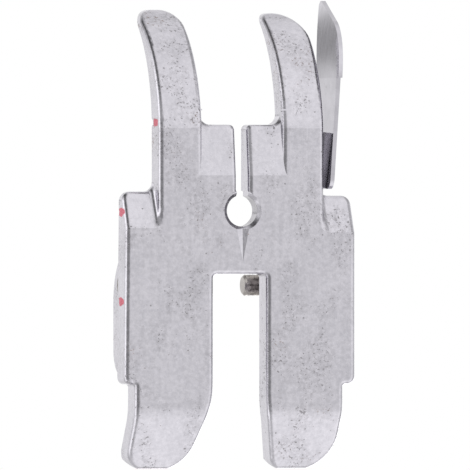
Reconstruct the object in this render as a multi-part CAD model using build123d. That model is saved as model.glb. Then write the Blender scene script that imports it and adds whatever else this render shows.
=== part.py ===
from build123d import *
import math
import os

# Quarter-inch presser foot, in millimetres.
# Origin: needle axis on the sole plane. +X is the sewer's right, +Y the back, +Z up.

# Sole plate
THICKNESS = 2.0
CENTRE_X = -0.18            # body centreline beside the needle axis
SOLE_WIDTH = 17.16
LEFT_SHOULDER_Y = -1.36     # front edges of the wide part
RIGHT_SHOULDER_Y = -1.08
SHOULDER_SHARE = 0.29       # of the shoulders' ledges taken up by their outer corners
SHOULDER_INNER_CORNER = 0.7
LEFT_TAPER = 0.12           # the left side stands in this much at the shoulder
WIDE_REAR_Y = 12.3
STEP_ROUND = 0.6            # outer corner of the rear step, as a share of the step
STEP_HOLLOW = 0.28          # inner corner of the rear step
EDGE_ROUND = 0.36           # tumbled edge of the sole
TOP_BEVEL = 0.15

# Toes
TOE_OUTER_LEFT = 6.2
TOE_GAP_HALF = 2.98
LEFT_TOE_TIP_Y = -14.32
LEFT_TOE_OUTER_SHARE = 0.40 # of the toe's width taken up by its tip corners
LEFT_TOE_INNER_SHARE = 0.43
RIGHT_TOE_TIP_Y = -14.1
RIGHT_TOE_OUTER_SHARE = 0.68
RIGHT_TOE_INNER_SHARE = 0.24
TOE_BEND_Y = -5.85
TOE_RISE = 7.1              # underside of the tips above the sole
TOE_TIP_HEIGHT = 0.8        # blunt front of the tips
TOE_CREASE_ANGLE = 4.0      # slight crease where the toes leave the flat

# Bridge between the toes, in two halves beside the slit
BRIDGE_FRONT_Y = -6.11
BRIDGE_CORNER = 0.75        # hollow corner against the toes
BRIDGE_ROOT_GAP = 0.32      # from the needle hole to where the bridge joins the plate
SLIT_CORNER = 0.38

# Heels
HEEL_LEFT_STEP = 0.8        # the heels stand in from the sides of the wide part
HEEL_RIGHT_STEP = 0.9
HEEL_BEND_GAP = 1.3         # from the rear step to where the heels start to rise
HEEL_BEND_RADIUS = 2.5
HEEL_ANGLE = 33.0
HEEL_END_Y = 18.45
HEEL_TIP_SETBACK = 0.9      # the end face leans forward, square to the ramp
LEFT_FLARE_Y = 13.1         # where the slot starts to widen between the heels
RIGHT_FLARE_Y = 14.0
HEEL_FLARE_ANGLE = 15.0
HEEL_FLARE_BLEND = 6.0
LEFT_HEEL_OUTER_SHARE = 0.37 # of the heel's end taken up by its corners
LEFT_HEEL_INNER_SHARE = 0.60
RIGHT_HEEL_OUTER_SHARE = 0.62
RIGHT_HEEL_INNER_SHARE = 0.27

# Slot for the rear feed arm
SLOT_WIDTH = 3.95
SLOT_FRONT_Y = 4.5
SLOT_CORNER = 0.3

# Lead-in ramps under the front edges
SHOULDER_RAMP_RISE = 1.2
SHOULDER_RAMP_RUN = 2.6
BRIDGE_RAMP_RISE = 0.45
BRIDGE_RAMP_RUN = 3.6

# Needle hole, slit and thread groove
NEEDLE_HOLE_D = 2.25
NEEDLE_CHAMFER = 0.25
SLIT_WIDTH = 0.88
COUNTERBORE_D = 3.0
COUNTERBORE_DEPTH = 0.6
GROOVE_WIDTH = 0.95
GROOVE_DEPTH = 0.12
GROOVE_END_Y = 3.65

# Ears
EAR_LEDGE = 1.38            # the ears stand this far in from the sides
EAR_THICKNESS = 1.7
EAR_TOP_Z = 7.6
EAR_FRONT_Y = 2.3
EAR_FRONT_RADIUS = 4.2
EAR_REAR_SETBACK = 0.3      # in front of the wide part's rear
EAR_REAR_RADIUS = 2.1
EAR_EDGE_BEVEL = 0.3
EAR_FOOT_BEVEL = 0.25

# Studs
STUD_D = 1.5
STUD_TAIL_D = 1.1
STUD_Y = 5.3
STUD_Z = 5.6
STUD_GAP = 3.8              # free width between the two stud ends
STUD_CHAMFER = 0.15
STUD_PEEN_DEPTH = 0.25      # tail end spread into a countersink in the ear

# Marks on the left edge, a quarter inch apart
MARK_PITCH = 6.35
MARK_MIDDLE_Y = 0.1
MARK_WIDTH = 0.62
MARK_DEPTH = 0.15
MARK_FLOOR_Z = 0.4

# Edge guide
GUIDE_OFFSET = 6.35         # inner face to needle axis, beside the needle
GUIDE_SHEET = 0.3
GUIDE_FLARE = 3.6
GUIDE_FRONT_FLARE = 9.0     # added turn of the front lobe
GUIDE_REAR_Y = -1.55
GUIDE_REAR_ROUND = 0.7
GUIDE_BOTTOM_Z = -0.1
GUIDE_STEP_Y = -9.45
GUIDE_LOBE_Y = -12.4
GUIDE_LOBE_Z = -0.5
GUIDE_LOBE_SHARE = 0.965    # of the lobe's straight lower edge taken up by its round
GUIDE_SWEEP_ANGLE = 67.0    # front edge above the horizontal
GUIDE_TIP_ROUND = 0.32
GUIDE_TOP_Z = 6.2
GUIDE_TOP_REAR_Y = -9.0
GUIDE_TOP_DROP = 1.8        # the top edge falls this far towards the rear
GUIDE_TOP_BEVEL = 1.2
GUIDE_GAP = 0.28            # between the guide and the right toe, beside the needle
TAB_FRONT_Y = -5.6
TAB_REAR_SETBACK = 0.1      # in front of the blade's rear end
TAB_INNER_X = 3.7
TAB_CORNER = 0.6
TAB_RELIEF = 0.25           # the blade's top edge drops this far in front of the tab
WELD_D = 0.9
WELD_DEPTH = 0.06
WELD_SPACING = 1.7

LEFT_X = CENTRE_X - SOLE_WIDTH / 2
RIGHT_X = CENTRE_X + SOLE_WIDTH / 2
HEEL_BEND_Y = WIDE_REAR_Y + HEEL_BEND_GAP
HEEL_LEFT_X = LEFT_X + HEEL_LEFT_STEP
HEEL_RIGHT_X = RIGHT_X - HEEL_RIGHT_STEP
EAR_OUTER_SPAN = SOLE_WIDTH - 2 * EAR_LEDGE
EAR_REAR_Y = WIDE_REAR_Y - EAR_REAR_SETBACK
TOE_OUTER_RIGHT = GUIDE_OFFSET - GUIDE_GAP
SLOT_LEFT_X = CENTRE_X - SLOT_WIDTH / 2
SLOT_RIGHT_X = CENTRE_X + SLOT_WIDTH / 2
BRIDGE_ROOT_Y = -NEEDLE_HOLE_D / 2 - BRIDGE_ROOT_GAP
GUIDE_TAB_TOP_Z = THICKNESS + GUIDE_SHEET
TAB_REAR_Y = GUIDE_REAR_Y - TAB_REAR_SETBACK
REACH = 40.0                # longer than the foot, for through cuts
MARGIN = 1.0                # how far cutters reach past the faces they cut
TIP_MARGIN = 0.3            # the toe curves run this far past the tips
TOUCH = 0.001               # closer than this counts as level
FACING_LIMIT = 0.4          # a face looks up or down if its normal leans no less than this


def rounded_outline(corners):
    """Closed flat outline from (x, y, radius) corners."""
    points = [(x, y) for x, y, radius in corners]
    face = make_face(Polyline(*points, close=True))
    for x, y, radius in corners:
        if radius > 0:
            corner = face.vertices().sort_by_distance((x, y, 0))[0]
            face = fillet(corner, radius)
    return face


def side_prism(face, x_low, x_high):
    """A (y, z) outline drawn across the foot from x_low to x_high."""
    return Pos(x_low, 0, 0) * extrude(Plane.YZ * face, x_high - x_low)


def lift_curve(start_y, start_z, start_angle, run, rise):
    """Arc in the side view: leaves the flat at start_angle and climbs by rise over run to the front."""
    first = math.radians(start_angle)
    last = 2 * math.atan2(rise, run) - first
    radius = run / (math.sin(last) - math.sin(first))

    def point(angle):
        y = start_y - radius * (math.sin(angle) - math.sin(first))
        z = start_z + radius * (math.cos(first) - math.cos(angle))
        return (y, z)

    return ThreePointArc(point(first), point((first + last) / 2), point(last))


def heel_curve(start_z):
    """Heel bend in the side view, from the ramp down to the flat."""
    angle = math.radians(HEEL_ANGLE)

    def point(turn):
        y = HEEL_BEND_Y + HEEL_BEND_RADIUS * math.sin(turn)
        z = start_z + HEEL_BEND_RADIUS * (1 - math.cos(turn))
        return (y, z)

    return ThreePointArc(point(angle), point(angle / 2), point(0))


def heel_tip(bend, y):
    """Point of the straight heel ramp at y, past the end of its bend."""
    ramp_start = bend @ 0
    return (y, ramp_start.Y + (y - ramp_start.X) * math.tan(math.radians(HEEL_ANGLE)))


def side_slab():
    """The sole's side view, from heel ramps to toe tips, across the whole width."""
    under_heel = heel_curve(0)
    over_heel = heel_curve(THICKNESS)
    under_tip = heel_tip(under_heel, HEEL_END_Y)
    over_tip = heel_tip(over_heel, HEEL_END_Y - HEEL_TIP_SETBACK)
    toe_run = TOE_BEND_Y - min(LEFT_TOE_TIP_Y, RIGHT_TOE_TIP_Y) + TIP_MARGIN
    toe_top_rise = TOE_RISE + TOE_TIP_HEIGHT - THICKNESS
    under_toe = lift_curve(TOE_BEND_Y, 0, TOE_CREASE_ANGLE, toe_run, TOE_RISE)
    over_toe = lift_curve(TOE_BEND_Y, THICKNESS, 0, toe_run, toe_top_rise)
    outline = [
        Line(under_tip, under_heel @ 0),
        under_heel,
        Line(under_heel @ 1, under_toe @ 0),
        under_toe,
        Line(under_toe @ 1, over_toe @ 1),
        over_toe,
        Line(over_toe @ 0, over_heel @ 1),
        over_heel,
        Line(over_heel @ 0, over_tip),
        Line(over_tip, under_tip),
    ]
    return side_prism(make_face(outline), -REACH / 2, REACH / 2)


def plan_prism():
    """The sole's outline seen from below without the bridge, through the whole height."""
    flare_slope = math.tan(math.radians(HEEL_FLARE_ANGLE))
    left_heel_x = SLOT_LEFT_X - (HEEL_END_Y - LEFT_FLARE_Y) * flare_slope
    right_heel_x = SLOT_RIGHT_X + (HEEL_END_Y - RIGHT_FLARE_Y) * flare_slope
    left_heel = left_heel_x - HEEL_LEFT_X
    right_heel = HEEL_RIGHT_X - right_heel_x
    left_toe = TOE_OUTER_LEFT - TOE_GAP_HALF
    right_toe = TOE_OUTER_RIGHT - TOE_GAP_HALF
    shoulder_left_x = LEFT_X + LEFT_TAPER
    left_ledge = -TOE_OUTER_LEFT - shoulder_left_x
    right_ledge = RIGHT_X - TOE_OUTER_RIGHT
    corners = [
        (-TOE_OUTER_LEFT, LEFT_TOE_TIP_Y, LEFT_TOE_OUTER_SHARE * left_toe),
        (-TOE_GAP_HALF, LEFT_TOE_TIP_Y, LEFT_TOE_INNER_SHARE * left_toe),
        (-TOE_GAP_HALF, BRIDGE_ROOT_Y, BRIDGE_CORNER),
        (TOE_GAP_HALF, BRIDGE_ROOT_Y, BRIDGE_CORNER),
        (TOE_GAP_HALF, RIGHT_TOE_TIP_Y, RIGHT_TOE_INNER_SHARE * right_toe),
        (TOE_OUTER_RIGHT, RIGHT_TOE_TIP_Y, RIGHT_TOE_OUTER_SHARE * right_toe),
        (TOE_OUTER_RIGHT, RIGHT_SHOULDER_Y, SHOULDER_INNER_CORNER),
        (RIGHT_X, RIGHT_SHOULDER_Y, SHOULDER_SHARE * right_ledge),
        (RIGHT_X, WIDE_REAR_Y, STEP_ROUND * HEEL_RIGHT_STEP),
        (HEEL_RIGHT_X, WIDE_REAR_Y, STEP_HOLLOW * HEEL_RIGHT_STEP),
        (HEEL_RIGHT_X, HEEL_END_Y, RIGHT_HEEL_OUTER_SHARE * right_heel),
        (right_heel_x, HEEL_END_Y, RIGHT_HEEL_INNER_SHARE * right_heel),
        (SLOT_RIGHT_X, RIGHT_FLARE_Y, HEEL_FLARE_BLEND),
        (SLOT_RIGHT_X, SLOT_FRONT_Y, SLOT_CORNER),
        (SLOT_LEFT_X, SLOT_FRONT_Y, SLOT_CORNER),
        (SLOT_LEFT_X, LEFT_FLARE_Y, HEEL_FLARE_BLEND),
        (left_heel_x, HEEL_END_Y, LEFT_HEEL_INNER_SHARE * left_heel),
        (HEEL_LEFT_X, HEEL_END_Y, LEFT_HEEL_OUTER_SHARE * left_heel),
        (HEEL_LEFT_X, WIDE_REAR_Y, STEP_HOLLOW * HEEL_LEFT_STEP),
        (LEFT_X, WIDE_REAR_Y, STEP_ROUND * HEEL_LEFT_STEP),
        (shoulder_left_x, LEFT_SHOULDER_Y, SHOULDER_SHARE * left_ledge),
        (-TOE_OUTER_LEFT, LEFT_SHOULDER_Y, SHOULDER_INNER_CORNER),
    ]
    return extrude(rounded_outline(corners), REACH / 2, both=True)


def lead_in_cut(x_low, x_high, edge_y, rise, run):
    """Wedge taken off the underside so that a front edge rises from the sole."""
    front_y = edge_y - MARGIN
    front_z = rise * (1 + MARGIN / run)
    corners = [
        (front_y, front_z, 0),
        (edge_y + run, 0, 0),
        (edge_y + run, -MARGIN, 0),
        (front_y, -MARGIN, 0),
    ]
    return side_prism(rounded_outline(corners), x_low, x_high)


def rim_edges(faces):
    """Edges where the given faces meet the walls, and not each other."""
    def key(edge):
        middle = edge.position_at(0.5)
        return (round(middle.X, 4), round(middle.Y, 4), round(middle.Z, 4))

    seen = {}
    for face in faces:
        for edge in face.edges():
            seen.setdefault(key(edge), []).append(edge)
    return [edges[0] for edges in seen.values() if len(edges) == 1]


def bridge(side):
    """Half of the bridge, bedded in the toe and the plate. side is -1 for the left and 1 for the right."""
    bed_x = TOE_GAP_HALF + 2 * EDGE_ROUND
    bed_y = BRIDGE_ROOT_Y + 2 * EDGE_ROUND
    front_y = BRIDGE_FRONT_Y - BRIDGE_CORNER - EDGE_ROUND
    corners = [
        (SLIT_WIDTH / 2, BRIDGE_FRONT_Y, SLIT_CORNER),
        (TOE_GAP_HALF, BRIDGE_FRONT_Y, BRIDGE_CORNER),
        (TOE_GAP_HALF, front_y, 0),
        (bed_x, front_y, 0),
        (bed_x, bed_y, 0),
        (SLIT_WIDTH / 2, bed_y, 0),
    ]
    half = side_slab() & extrude(rounded_outline(corners), REACH / 2, both=True)
    half -= lead_in_cut(0, REACH / 2, BRIDGE_FRONT_Y, BRIDGE_RAMP_RISE, BRIDGE_RAMP_RUN)
    under = [face for face in half.faces() if face.normal_at().Z < -FACING_LIMIT]
    open_rim = []
    for edge in rim_edges(under):
        middle = edge.position_at(0.5)
        if middle.X < TOE_GAP_HALF and middle.Y < bed_y - TOUCH:
            open_rim.append(edge)
    half = fillet(open_rim, EDGE_ROUND)
    if side < 0:
        half = mirror(half, Plane.YZ)
    return half


def sole():
    plate = side_slab() & plan_prism()
    shoulder_ramp = (SHOULDER_RAMP_RISE, SHOULDER_RAMP_RUN)
    plate -= lead_in_cut(LEFT_X - MARGIN, -TOE_OUTER_LEFT, LEFT_SHOULDER_Y, *shoulder_ramp)
    plate -= lead_in_cut(TOE_OUTER_RIGHT, RIGHT_X + MARGIN, RIGHT_SHOULDER_Y, *shoulder_ramp)
    under = [face for face in plate.faces() if face.normal_at().Z < -FACING_LIMIT]
    plate = fillet(rim_edges(under), EDGE_ROUND)
    plate -= Pos(0, BRIDGE_ROOT_Y, 0) * Box(SLIT_WIDTH, -2 * BRIDGE_ROOT_Y, REACH)
    plate += bridge(-1) + bridge(1)
    over = [face for face in plate.faces() if face.normal_at().Z > FACING_LIMIT]
    top_rim = [edge for edge in rim_edges(over) if abs(edge.position_at(0.5).Z - THICKNESS) < TOUCH]
    return chamfer(top_rim, TOP_BEVEL)


def ear(side):
    """Lug for one stud. side is -1 for the left ear and 1 for the right."""
    root_z = THICKNESS - TOP_BEVEL
    corners = [
        (EAR_FRONT_Y, root_z, 0),
        (EAR_FRONT_Y, EAR_TOP_Z, EAR_FRONT_RADIUS),
        (EAR_REAR_Y, EAR_TOP_Z, EAR_REAR_RADIUS),
        (EAR_REAR_Y, root_z, 0),
    ]
    outer_x = CENTRE_X + side * EAR_OUTER_SPAN / 2
    inner_x = outer_x - side * EAR_THICKNESS
    lug = side_prism(rounded_outline(corners), min(outer_x, inner_x), max(outer_x, inner_x))
    cheeks = lug.faces().filter_by(Axis.X)
    rim = [edge for edge in rim_edges(cheeks) if edge.position_at(0.5).Z > THICKNESS]
    return chamfer(rim, EAR_EDGE_BEVEL)


def needle_cuts():
    """Needle hole with its lower chamfer and upper counterbore, and the thread groove."""
    hole_r = NEEDLE_HOLE_D / 2
    cut = Cylinder(hole_r, REACH)
    mouth_h = hole_r + NEEDLE_CHAMFER + MARGIN
    cut += Pos(0, 0, mouth_h / 2 - MARGIN) * Cone(mouth_h, 0, mouth_h)
    cut += Pos(0, 0, THICKNESS - COUNTERBORE_DEPTH + REACH / 2) * Cylinder(COUNTERBORE_D / 2, REACH)
    return cut + thread_groove()


def thread_groove():
    """V groove that runs out of the needle hole and fades into the sole behind it."""
    run = GROOVE_END_Y - NEEDLE_HOLE_D / 2
    slope = math.degrees(math.atan2(GROOVE_DEPTH, run))
    scale = 1 + MARGIN / GROOVE_DEPTH
    half = GROOVE_WIDTH / 2 * scale
    corners = [(-half, -MARGIN, 0), (half, -MARGIN, 0), (0, GROOVE_DEPTH, 0)]
    section = Plane.XZ * rounded_outline(corners)
    bar = extrude(section, REACH / 2, both=True)
    tilted = Pos(0, GROOVE_END_Y, 0) * Rot(-slope, 0, 0) * Pos(0, 0, -GROOVE_DEPTH) * bar
    reach = Pos(0, GROOVE_END_Y - run / 2, 0) * Box(2 * half, run, 4 * GROOVE_DEPTH)
    return tilted & reach


def mark_notches():
    """Three scooped notches down the left edge, level with the needle and a quarter inch from it."""
    scoop_r = (MARK_WIDTH ** 2 / 4 + MARK_DEPTH ** 2) / (2 * MARK_DEPTH)
    stand_off = scoop_r - MARK_DEPTH
    edges_x = [-TOE_OUTER_LEFT, LEFT_X, LEFT_X]
    notches = Part()
    for index, edge_x in enumerate(edges_x):
        y = MARK_MIDDLE_Y + (index - 1) * MARK_PITCH
        notches += Pos(edge_x - stand_off, y, MARK_FLOOR_Z + THICKNESS) * Cylinder(scoop_r, 2 * THICKNESS)
    return notches


def stud(side):
    """Chamfered stud with a thinner tail peened into its ear, turned about X."""
    inner_face = EAR_OUTER_SPAN / 2 - EAR_THICKNESS
    outer_face = EAR_OUTER_SPAN / 2
    tip = STUD_GAP / 2
    body_r = STUD_D / 2
    tail_r = STUD_TAIL_D / 2
    profile = [
        (tip, 0),
        (tip, body_r - STUD_CHAMFER),
        (tip + STUD_CHAMFER, body_r),
        (inner_face, body_r),
        (inner_face, tail_r),
        (outer_face - STUD_PEEN_DEPTH, tail_r),
        (outer_face, tail_r + STUD_PEEN_DEPTH),
        (outer_face, 0),
    ]
    turned = revolve(make_face(Polyline(*profile, close=True)), Axis.X)
    if side < 0:
        turned = mirror(turned, Plane.YZ)
    return Pos(CENTRE_X, STUD_Y, STUD_Z) * turned


def foot_body(studs):
    body = sole() + ear(-1) + ear(1)
    roots = []
    for edge in body.edges():
        middle = edge.position_at(0.5)
        on_top = abs(middle.Z - THICKNESS) < TOUCH
        near_ear = abs(abs(middle.X - CENTRE_X) - EAR_OUTER_SPAN / 2 + EAR_THICKNESS / 2) < EAR_THICKNESS
        if on_top and near_ear and EAR_FRONT_Y - TOUCH < middle.Y < EAR_REAR_Y + TOUCH:
            roots.append(edge)
    body = chamfer(roots, EAR_FOOT_BEVEL)
    body -= needle_cuts()
    body -= mark_notches()
    for pin in studs:
        body -= pin
    return body


def guide_line(offset):
    """Guide seen from above, at a distance from its inner face: a flared line, then the turned-out lobe."""
    flare = math.radians(GUIDE_FLARE)
    last = math.radians(GUIDE_FLARE + GUIDE_FRONT_FLARE)
    lobe_reach = GUIDE_STEP_Y - LEFT_TOE_TIP_Y + 2 * MARGIN
    radius = lobe_reach / (math.sin(last) - math.sin(flare))
    step_x = GUIDE_OFFSET - GUIDE_STEP_Y * math.tan(flare)
    centre_x = step_x + radius * math.cos(flare)
    centre_y = GUIDE_STEP_Y + radius * math.sin(flare)

    def point(angle):
        x = centre_x - (radius - offset) * math.cos(angle)
        y = centre_y - (radius - offset) * math.sin(angle)
        return (x, y)

    rear_run = (GUIDE_REAR_Y + MARGIN - GUIDE_STEP_Y) / math.cos(flare)
    start = point(flare)
    rear = (start[0] - rear_run * math.sin(flare), start[1] + rear_run * math.cos(flare))
    return [Line(rear, start), ThreePointArc(start, point((flare + last) / 2), point(last))]


def guide_x(y):
    """Middle of the guide's sheet on its straight stretch."""
    flare = math.radians(GUIDE_FLARE)
    return GUIDE_OFFSET - y * math.tan(flare) + GUIDE_SHEET / 2 / math.cos(flare)


def edge_guide():
    """Blade cut from sheet, with its tab folded over the top of the right toe."""
    inner = guide_line(0)
    outer = guide_line(GUIDE_SHEET)
    ends = [Line(inner[0] @ 0, outer[0] @ 0), Line(inner[1] @ 1, outer[1] @ 1)]
    sheet = extrude(make_face(inner + outer + ends), REACH / 2, both=True)
    sweep = math.radians(GUIDE_SWEEP_ANGLE)
    nose_run = (GUIDE_TOP_Z - GUIDE_LOBE_Z) / math.tan(sweep)
    lobe_round = GUIDE_LOBE_SHARE * (GUIDE_STEP_Y - GUIDE_LOBE_Y) / math.tan(sweep / 2)
    corners = [
        (GUIDE_REAR_Y, GUIDE_BOTTOM_Z, GUIDE_REAR_ROUND),
        (GUIDE_STEP_Y, GUIDE_BOTTOM_Z, 0),
        (GUIDE_STEP_Y, GUIDE_LOBE_Z, 0),
        (GUIDE_LOBE_Y, GUIDE_LOBE_Z, lobe_round),
        (GUIDE_LOBE_Y - nose_run, GUIDE_TOP_Z, GUIDE_TIP_ROUND),
        (GUIDE_TOP_REAR_Y, GUIDE_TOP_Z - GUIDE_TOP_DROP, GUIDE_TOP_BEVEL),
        (TAB_FRONT_Y - TAB_RELIEF, GUIDE_TAB_TOP_Z, GUIDE_REAR_ROUND),
        (GUIDE_REAR_Y, GUIDE_TAB_TOP_Z, 0),
    ]
    blade = sheet & side_prism(rounded_outline(corners), GUIDE_OFFSET - MARGIN, REACH)
    tab_corners = [
        (TAB_INNER_X, TAB_FRONT_Y, TAB_CORNER),
        (guide_x(TAB_FRONT_Y), TAB_FRONT_Y, 0),
        (guide_x(TAB_REAR_Y), TAB_REAR_Y, 0),
        (TAB_INNER_X, TAB_REAR_Y, TAB_CORNER),
    ]
    tab = Pos(0, 0, THICKNESS) * extrude(rounded_outline(tab_corners), GUIDE_SHEET)
    guide = blade + tab
    middle_x = (TAB_INNER_X + TOE_OUTER_RIGHT) / 2
    middle_y = (TAB_FRONT_Y + TAB_REAR_Y) / 2
    for y in (middle_y - WELD_SPACING / 2, middle_y + WELD_SPACING / 2):
        guide -= Pos(middle_x, y, GUIDE_TAB_TOP_Z) * Cylinder(WELD_D / 2, 2 * WELD_DEPTH)
    return guide


def main():
    os.makedirs("parts", exist_ok=True)
    studs = [stud(-1), stud(1)]
    nodes = {
        "foot_body": foot_body(studs),
        "stud_left": studs[0],
        "stud_right": studs[1],
        "edge_guide": edge_guide(),
    }
    for name, shape in nodes.items():
        export_step(shape, f"parts/{name}.step")


if __name__ == "__main__":
    main()
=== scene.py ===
import math

import bpy
from mathutils import Matrix, Vector


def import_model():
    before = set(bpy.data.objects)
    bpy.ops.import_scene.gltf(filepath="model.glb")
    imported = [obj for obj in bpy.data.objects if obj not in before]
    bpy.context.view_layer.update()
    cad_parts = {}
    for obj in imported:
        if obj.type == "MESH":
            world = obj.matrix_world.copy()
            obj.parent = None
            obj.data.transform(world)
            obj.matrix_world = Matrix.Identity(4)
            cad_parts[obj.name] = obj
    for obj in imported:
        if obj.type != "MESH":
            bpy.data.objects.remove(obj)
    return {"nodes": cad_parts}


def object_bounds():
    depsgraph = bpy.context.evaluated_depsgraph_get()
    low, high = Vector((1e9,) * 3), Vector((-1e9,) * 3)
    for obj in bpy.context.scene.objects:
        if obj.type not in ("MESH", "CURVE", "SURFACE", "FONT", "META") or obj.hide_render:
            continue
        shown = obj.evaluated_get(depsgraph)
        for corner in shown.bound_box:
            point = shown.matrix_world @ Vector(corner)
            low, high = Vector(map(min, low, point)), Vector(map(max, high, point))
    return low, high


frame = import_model()
CAD_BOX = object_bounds()

MM = 0.001

# Camera, under the foot and a little to its left, looking at the sole
VIEW_TILT = math.radians(17.5)
VIEW_CENTRE = Vector((-0.595, 1.72, 0.0)) * MM
VIEW_WIDTH = 33.33 * MM
LENS = 1200.0               # nearly parallel rays
SENSOR = 36.0

# Painted marks on the left edge, in millimetres: the place along the foot and the wall's face
MARKS = ((-6.25, -6.2), (0.1, -8.7), (6.45, -8.76))
MARK_HALF_LENGTH = 0.33
MARK_MIDDLE_Z = 1.25
MARK_HALF_HEIGHT = 0.62
MARK_DEPTH = 0.35
MARK_RAGGED = 1.1           # how far the noise moves a mark's edge
MARK_FACING = 0.75          # how squarely a painted face looks to the left

# Places on the metal, in millimetres
BORE_RADIUS = 1.125         # needle hole
HOLE_SHADE_PAINT = 0.35            # how much painted shade darkens its wall
STUD_MIDDLE_X = -0.18       # halfway between the studs
STUD_TIP_REACH = 2.0        # from there to where the bright tips end

# Colours
PLATING_GREY = (0.56, 0.548, 0.592, 1.0)
PLATING_WORN = (0.69, 0.672, 0.722, 1.0)
GRIME = (0.13, 0.12, 0.12, 1.0)
RUST = (0.26, 0.17, 0.12, 1.0)
MARK_RED = (0.70, 0.13, 0.19, 1.0)
STUD_DARK = (0.13, 0.115, 0.11, 1.0)
STUD_LIGHT = (0.36, 0.33, 0.31, 1.0)
STUD_TIP = (0.52, 0.49, 0.47, 1.0)
GUIDE_GREY = (0.595, 0.58, 0.625, 1.0)
GUIDE_CLOUD = (0.5355, 0.522, 0.5625, 1.0)
FLOOR_WHITE = (0.86, 0.86, 0.86, 1.0)
ROOM_WHITE = (1.0, 1.0, 1.0, 1.0)

FLOOR_SIZE = 1.1
FLOOR_GAP = 0.02 * MM

# Key lamp, aimed at the needle hole
KEY_PLACE = (0.2, 0.16, 0.26)
KEY_SIZE = 0.25
KEY_POWER = 0.25

# The room's level, what its lighter parts add to it and what its darker parts take from it
ROOM_LEVEL = 0.87
FRONT_GLOW = 0.26
REAR_GLOW = 0.31
CEILING_GLOW = 0.12
WINDOW_GLOW = 0.8
STRIP_GLOW = 0.2
LEFT_SHADE = 0.6
CORNER_SHADE = 0.35
FRONT_CORNER_SHADE = 0.5
HEEL_SHADE = 0.5
TOE_SHADE = 0.45
TOE_SIDE_SHADE = 0.35
CARD_SHADE = 0.62
BACKDROP_LEVEL = 1.0        # what the camera sees behind the foot


class Graph:
    """Builds shader nodes. An input may be a value or another node's output."""

    def __init__(self, tree):
        self.tree = tree
        tree.nodes.clear()

    def add(self, kind, inputs=None, **settings):
        node = self.tree.nodes.new(kind)
        for key, value in settings.items():
            setattr(node, key, value)
        for key, value in (inputs or {}).items():
            if isinstance(value, bpy.types.NodeSocket):
                self.tree.links.new(value, node.inputs[key])
            else:
                node.inputs[key].default_value = value
        return node

    def math(self, operation, first, second=0.0):
        return self.add("ShaderNodeMath", {0: first, 1: second}, operation=operation).outputs[0]

    def join(self, operation, values):
        """One value out of several, joined in their order."""
        result = values[0]
        for value in values[1:]:
            result = self.math(operation, result, value)
        return result

    def total(self, *values):
        return self.join("ADD", values)

    def product(self, *values):
        return self.join("MULTIPLY", values)

    def largest(self, *values):
        return self.join("MAXIMUM", values)

    def minus(self, first, second):
        return self.math("SUBTRACT", first, second)

    def split(self, vector):
        """X, Y and Z of a vector."""
        return self.add("ShaderNodeSeparateXYZ", {0: vector}).outputs

    def ramp(self, value, low, high, out_low=0.0, out_high=1.0):
        """Smooth step of value from low to high."""
        inputs = {"Value": value, "From Min": low, "From Max": high, "To Min": out_low, "To Max": out_high}
        return self.add("ShaderNodeMapRange", inputs, interpolation_type="SMOOTHSTEP").outputs[0]

    # A mix node takes its factor in socket 0, numbers in 2 and 3, and colours in 6 and 7
    def mix(self, factor, first, second):
        """Colour between first and second."""
        inputs = {0: factor, 6: first, 7: second}
        return self.add("ShaderNodeMix", inputs, data_type="RGBA").outputs[2]

    def between(self, factor, first, second):
        """Number between first and second."""
        inputs = {0: factor, 2: first, 3: second}
        return self.add("ShaderNodeMix", inputs, data_type="FLOAT").outputs[0]

    def placed(self, coords, offset, stretch=(1, 1, 1), turn=0.0):
        """Coordinates moved alike on all axes, turned about Z and stretched."""
        inputs = {"Vector": coords, "Scale": stretch, "Location": (offset,) * 3, "Rotation": (0, 0, turn)}
        return self.add("ShaderNodeMapping", inputs).outputs[0]

    def noise(self, coords, scale, stretch=(1, 1, 1), detail=3.0, roughness=0.55, turn=0.0, offset=0.0):
        """Noise in millimetres, drawn out along an axis by a small stretch value."""
        vector = self.placed(coords, offset, stretch, turn)
        inputs = {"Vector": vector, "Scale": scale, "Detail": detail, "Roughness": roughness}
        return self.add("ShaderNodeTexNoise", inputs).outputs["Fac"]

    def specks(self, coords, scale, size, share, offset=0.0):
        """Round spots: one to a cell, kept in a share of the cells, with sizes that differ."""
        inputs = {"Vector": self.placed(coords, offset), "Scale": scale}
        cells = self.add("ShaderNodeTexVoronoi", inputs)
        draw = self.add("ShaderNodeSeparateColor", {"Color": cells.outputs["Color"]})
        kept = self.math("LESS_THAN", draw.outputs[0], share)
        radius = self.product(draw.outputs[1], size)
        inside = self.minus(radius, cells.outputs["Distance"])
        return self.product(self.ramp(inside, 0.0, size * 0.4), kept)


def millimetres(graph):
    """Place on the object, in millimetres."""
    place = graph.add("ShaderNodeTexCoord").outputs["Object"]
    inputs = {0: place, "Scale": 1 / MM}
    return graph.add("ShaderNodeVectorMath", inputs, operation="SCALE").outputs[0]


def new_material(name):
    material = bpy.data.materials.new(name)
    material.use_nodes = True
    return material, Graph(material.node_tree)


def close_material(graph, colour, metallic, roughness, height, bump_strength):
    """Principled surface with a bump in millimetres."""
    inputs = {"Height": height, "Strength": bump_strength, "Distance": MM}
    bump = graph.add("ShaderNodeBump", inputs).outputs[0]
    inputs = {"Base Color": colour, "Metallic": metallic, "Roughness": roughness, "Normal": bump}
    surface = graph.add("ShaderNodeBsdfPrincipled", inputs)
    graph.add("ShaderNodeOutputMaterial", {"Surface": surface.outputs[0]})


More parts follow.
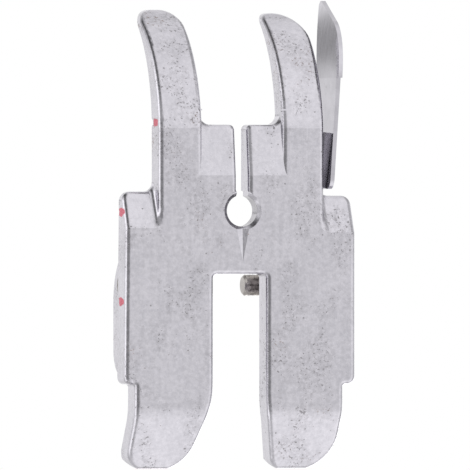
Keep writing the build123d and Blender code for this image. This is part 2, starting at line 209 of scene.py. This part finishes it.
def mark_mask(graph, coords):
    """1 on the painted marks: dabs on walls that look to the left, with ragged edges."""
    x, y, z = graph.split(coords)
    ragged = graph.product(graph.minus(graph.noise(coords, 2.6, detail=4.0), 0.5), MARK_RAGGED)
    across = graph.math("DIVIDE", graph.minus(z, MARK_MIDDLE_Z), MARK_HALF_HEIGHT)
    dabs = []
    for mark_y, wall_x in MARKS:
        along = graph.math("DIVIDE", graph.minus(y, mark_y), MARK_HALF_LENGTH)
        radius = graph.total(graph.math("POWER", along, 2.0), graph.math("POWER", across, 2.0), ragged)
        near = graph.ramp(x, wall_x + MARK_DEPTH, wall_x + MARK_DEPTH * 0.8)
        dabs.append(graph.product(graph.ramp(radius, 1.15, 0.75), near))
    normal = graph.add("ShaderNodeNewGeometry").outputs["Normal"]
    facing = graph.ramp(graph.split(normal)["X"], -MARK_FACING + 0.1, -MARK_FACING - 0.1)
    return graph.product(graph.largest(*dabs), facing)


def wear_mask(graph, coords):
    """1 where handling has left the plating dirty: long clouds, thicker towards the toes."""
    clouds = graph.noise(coords, 0.42, stretch=(1.2, 0.7, 1.2), detail=4.0, offset=3.0, turn=-0.3)
    thicker = graph.ramp(graph.split(coords)["Y"], 2.0, -5.0, 0.0, 0.05)
    return graph.ramp(graph.total(clouds, thicker), 0.45, 0.62)


def dirt_mask(graph, coords, worn):
    """How much dirt covers the plating: round pits, and ragged grit that crowds where it is worn."""
    specks = graph.noise(coords, 5.2, roughness=0.65, offset=5.0)
    needed = graph.minus(0.69, graph.product(worn, 0.12))
    grit = graph.ramp(graph.minus(specks, needed), 0.0, 0.08)
    pits = graph.specks(coords, 2.2, 0.2, 0.25, offset=11.0)
    return graph.largest(graph.product(grit, 0.65), graph.product(pits, 0.55))


def hole_painted_shade(graph, coords):
    """Painted shade on the wall of the needle hole: how much darker it is than the plating."""
    flat = graph.add("ShaderNodeVectorMath", {0: coords, 1: (1, 1, 0)}, operation="MULTIPLY").outputs[0]
    radius = graph.add("ShaderNodeVectorMath", {0: flat}, operation="LENGTH").outputs["Value"]
    return graph.ramp(radius, BORE_RADIUS + 0.03, BORE_RADIUS + 0.01, 0.0, HOLE_SHADE_PAINT)


def plating_tone(graph, coords, mottle):
    """Bare plating: grey, mottled lighter in clouds and streaks."""
    cloud = graph.noise(coords, 0.3, detail=4.0)
    streak = graph.noise(coords, 1.0, stretch=(2.6, 0.25, 2.6), offset=7.0)
    tone = graph.total(graph.product(streak, 0.2), graph.product(cloud, 0.25), graph.product(mottle, 0.55))
    return graph.mix(graph.ramp(tone, 0.36, 0.64), PLATING_GREY, PLATING_WORN)


def plating_colour(graph, coords, mottle, worn, dirt):
    """Plating under a film of grime, rusty dirt and hair scratches, with painted shade on the needle
    hole's wall.
    """
    fine = graph.ramp(graph.noise(coords, 3.8, detail=2.0, offset=13.0), 0.35, 0.65)
    film = graph.product(fine, graph.ramp(worn, 0.0, 1.0, 0.04, 0.18))
    colour = graph.mix(film, plating_tone(graph, coords, mottle), GRIME)
    rusty = graph.ramp(graph.noise(coords, 0.2, offset=21.0), 0.56, 0.64)
    colour = graph.mix(dirt, colour, graph.mix(rusty, GRIME, RUST))
    hair = graph.noise(coords, 1.0, stretch=(14.0, 0.5, 14.0), detail=2.0, turn=0.35)
    colour = graph.mix(graph.ramp(hair, 0.66, 0.72, 0.0, 0.25), colour, PLATING_WORN)
    # painted shade: the needle hole's wall is darkened towards the grime colour
    return graph.mix(hole_painted_shade(graph, coords), colour, GRIME)


def plating():
    """Tumbled satin plating with the painted marks."""
    material, graph = new_material("tumbled_plating")
    coords = millimetres(graph)
    mottle = graph.noise(coords, 3.0, detail=4.0, roughness=0.7, offset=2.0)
    worn = wear_mask(graph, coords)
    dirt = dirt_mask(graph, coords, worn)
    paint = mark_mask(graph, coords)
    colour = graph.mix(paint, plating_colour(graph, coords, mottle, worn, dirt), MARK_RED)
    metallic = graph.minus(1.0, paint)
    satin = graph.ramp(mottle, 0.3, 0.7, 0.17, 0.27)
    roughness = graph.total(satin, graph.product(dirt, 0.3), graph.product(paint, 0.25))
    grain = graph.product(graph.total(graph.noise(coords, 7.0), mottle), 0.012)
    height = graph.minus(grain, graph.product(dirt, 0.02))
    close_material(graph, colour, metallic, roughness, height, 0.5)
    return material


def stud_steel():
    """Dull turned steel with tool rings and brown stains, brighter at the studs' tips."""
    material, graph = new_material("turned_stud_steel")
    coords = millimetres(graph)
    rings = graph.noise(coords, 1.0, stretch=(9.0, 0.6, 0.6), detail=2.0)
    stain = graph.noise(coords, 2.4, detail=4.0, offset=5.0)
    colour = graph.mix(graph.ramp(stain, 0.38, 0.62), STUD_DARK, STUD_LIGHT)
    reach = graph.math("ABSOLUTE", graph.minus(graph.split(coords)["X"], STUD_MIDDLE_X))
    bright = graph.ramp(reach, STUD_TIP_REACH + 0.4, STUD_TIP_REACH, 0.0, 0.8)
    colour = graph.mix(bright, colour, STUD_TIP)
    roughness = graph.ramp(rings, 0.3, 0.7, 0.18, 0.42)
    close_material(graph, colour, 1.0, roughness, graph.product(rings, 0.02), 0.6)
    return material


def guide_sheet():
    """Smooth rolled sheet with faint lengthwise lines."""
    material, graph = new_material("rolled_guide_sheet")
    coords = millimetres(graph)
    lines = graph.noise(coords, 1.0, stretch=(0.3, 0.2, 6.0))
    cloud = graph.noise(coords, 0.9, offset=9.0)
    colour = graph.mix(graph.ramp(cloud, 0.35, 0.65), GUIDE_GREY, GUIDE_CLOUD)
    spots = graph.specks(coords, 1.6, 0.2, 0.3)
    colour = graph.mix(graph.product(spots, 0.4), colour, GRIME)
    roughness = graph.ramp(lines, 0.3, 0.7, 0.08, 0.12)
    close_material(graph, colour, 1.0, roughness, graph.product(lines, 0.004), 0.5)
    return material


def dress(node, material):
    """Gives a CAD object its finish."""
    slots = frame["nodes"][node].data.materials
    slots.clear()
    slots.append(material)


def floor():
    """Pale floor under the foot. It is open from below, where the camera is, and stops no light."""
    low = CAD_BOX[0]
    bpy.ops.mesh.primitive_plane_add(size=FLOOR_SIZE, location=(0, 0, low.z - FLOOR_GAP))
    plane = bpy.context.object
    plane.name = "floor"
    material, graph = new_material("floor_white")
    pale = graph.add("ShaderNodeBsdfDiffuse", {"Color": FLOOR_WHITE})
    open_side = graph.add("ShaderNodeBsdfTransparent")
    back = graph.add("ShaderNodeNewGeometry").outputs["Backfacing"]
    inputs = {0: back, 1: pale.outputs[0], 2: open_side.outputs[0]}
    mixed = graph.add("ShaderNodeMixShader", inputs)
    graph.add("ShaderNodeOutputMaterial", {"Surface": mixed.outputs[0]})
    plane.data.materials.append(material)
    plane.visible_shadow = False
    plane.visible_diffuse = False
    plane.visible_glossy = False
    plane.visible_transmission = False


# In these three functions x, y and z are the parts of a direction of length 1
def room_glow(graph, x, y, z):
    """What the lighter parts add: front, rear, ceiling, a window on the left and a strip on the right."""
    front = graph.ramp(y, -0.02, -0.25, 0.0, FRONT_GLOW)
    front = graph.product(front, graph.ramp(z, -0.65, -0.1, 1.0, 0.6))
    rear = graph.ramp(y, 0.1, 0.85, 0.0, REAR_GLOW)
    ceiling = graph.ramp(z, 0.3, 0.8, 0.0, CEILING_GLOW)
    skyline = graph.product(graph.ramp(z, -0.45, -0.15), graph.ramp(z, 0.5, 0.2))
    window = graph.product(graph.ramp(x, -0.55, -0.75, 0.0, WINDOW_GLOW), skyline)
    window = graph.product(window, graph.ramp(y, -0.75, -0.3, 0.15, 1.0))
    strip = graph.product(graph.ramp(x, 0.4, 0.6, 0.0, STRIP_GLOW), graph.ramp(y, -0.5, -0.15))
    return graph.total(front, rear, ceiling, window, strip)


def room_shade(graph, x, y, z):
    """What the darker parts take: low left, right corners, past toes and heels, and a card overhead."""
    low = graph.largest(graph.ramp(z, 0.05, -0.3), graph.ramp(y, -0.6, -0.85))
    left = graph.product(graph.ramp(x, 0.24, -0.35, 0.0, LEFT_SHADE), low)
    corner = graph.product(graph.ramp(x, 0.6, 0.9), graph.ramp(z, -0.5, -0.1, 0.0, CORNER_SHADE))
    front_corner = graph.ramp(y, -0.2, -0.6, 0.0, FRONT_CORNER_SHADE)
    front_corner = graph.product(graph.ramp(x, 0.35, 0.65), front_corner)
    heel_ends = graph.product(graph.ramp(y, 0.15, 0.5, 0.0, HEEL_SHADE), graph.ramp(z, -0.25, 0.2))
    toe_ends = graph.product(graph.ramp(y, -0.15, -0.5, 0.0, TOE_SHADE), graph.ramp(z, 0.3, 0.7))
    toe_sides = graph.product(graph.ramp(x, -0.1, -0.4, 0.0, TOE_SIDE_SHADE), graph.ramp(y, -0.35, -0.65))
    card = graph.product(graph.ramp(y, -0.042, -0.078), graph.ramp(y, -0.124, -0.098))
    card = graph.product(card, graph.ramp(x, -0.2, -0.25, 0.0, CARD_SHADE), graph.ramp(z, 0.85, 0.9))
    corners = graph.largest(corner, front_corner)
    ends = graph.largest(heel_ends, toe_ends)
    return graph.total(left, corners, ends, toe_sides, card)


def room_level(graph):
    """Brightness of the white room by direction, as the metal and the camera see it."""
    direction = graph.add("ShaderNodeTexCoord").outputs["Generated"]
    x, y, z = graph.split(direction)
    lit = graph.total(ROOM_LEVEL, room_glow(graph, x, y, z))
    level = graph.minus(lit, room_shade(graph, x, y, z))
    behind = graph.product(graph.ramp(x, 0.0, 0.2), graph.ramp(z, 0.5, 0.8))
    return graph.between(behind, level, BACKDROP_LEVEL)


def world():
    """White room: plain light on dull surfaces, and its shades seen by the camera and in the metal."""
    scene_world = bpy.data.worlds.new("studio")
    bpy.context.scene.world = scene_world
    scene_world.use_nodes = True
    graph = Graph(scene_world.node_tree)
    path = graph.add("ShaderNodeLightPath").outputs
    seen = graph.largest(path["Is Camera Ray"], path["Is Glossy Ray"], path["Is Transmission Ray"])
    strength = graph.between(seen, ROOM_LEVEL, room_level(graph))
    backdrop = graph.add("ShaderNodeBackground", {"Color": ROOM_WHITE, "Strength": strength})
    graph.add("ShaderNodeOutputWorld", {"Surface": backdrop.outputs[0]})


def lamp(name, place, size, power):
    """Square soft light aimed at the foot."""
    data = bpy.data.lights.new(name, "AREA")
    data.size = size
    data.energy = power
    light = bpy.data.objects.new(name, data)
    bpy.context.scene.collection.objects.link(light)
    light.location = place
    light.rotation_mode = "QUATERNION"
    light.rotation_quaternion = (-Vector(place)).to_track_quat("-Z", "Y")


def camera():
    """Long lens under the sole, with the toes towards the top of the picture."""
    forward = Vector((math.sin(VIEW_TILT), 0, math.cos(VIEW_TILT)))
    right = Vector((math.cos(VIEW_TILT), 0, -math.sin(VIEW_TILT)))
    up = Vector((0, -1, 0))
    distance = VIEW_WIDTH * LENS / SENSOR
    data = bpy.data.cameras.new("camera")
    data.lens = LENS
    data.sensor_width = SENSOR
    data.clip_start = MM
    data.clip_end = distance * 10
    viewer = bpy.data.objects.new("camera", data)
    bpy.context.scene.collection.objects.link(viewer)
    turn = Matrix((right, up, -forward)).transposed().to_4x4()
    viewer.matrix_world = Matrix.Translation(VIEW_CENTRE - forward * distance) @ turn
    bpy.context.scene.camera = viewer


bpy.context.scene.view_settings.view_transform = "Standard"
dress("foot_body", plating())
stud_finish = stud_steel()
dress("stud_left", stud_finish)
dress("stud_right", stud_finish)
dress("edge_guide", guide_sheet())
floor()
world()
lamp("key", KEY_PLACE, KEY_SIZE, KEY_POWER)
camera()
